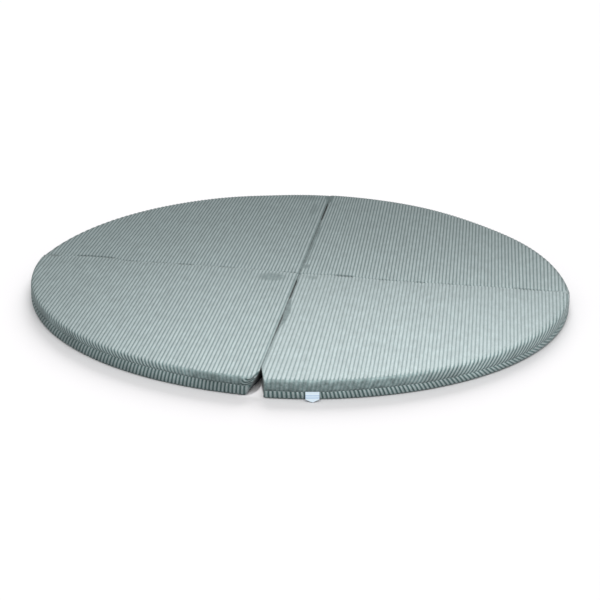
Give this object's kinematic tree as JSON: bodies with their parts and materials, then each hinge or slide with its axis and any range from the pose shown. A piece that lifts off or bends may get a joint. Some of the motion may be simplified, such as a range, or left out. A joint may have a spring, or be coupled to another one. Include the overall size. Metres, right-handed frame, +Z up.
{
  "type": "round folding floor mat",
  "caption": "Round padded floor mat in ribbed velvet corduroy, laid open: foam quarters joined by folds, with an open slit in front.",
  "frame": {"origin": "on the floor, below the middle of the open mat's bounding box", "axes": "+Z up, +Y towards the back fold, +X to the right as seen from the slit; the ribs run along Y"},
  "size_m": [1.6116, 1.6182, 0.0545],
  "materials": {
    "cover": "grey-green velvet corduroy, wide ribs, soft sheen",
    "joining_strip": "grey-green velvet, flat",
    "label": "white woven satin"
  },
  "bodies": {
    "root": {"pad_front_left": "cover", "pad_back_left": "cover", "pad_back_right": "cover", "pad_front_right": "cover", "fold_left": "joining_strip", "fold_right": "joining_strip", "fold_back": "joining_strip", "label": "label"}
  },
  "joints": []
}
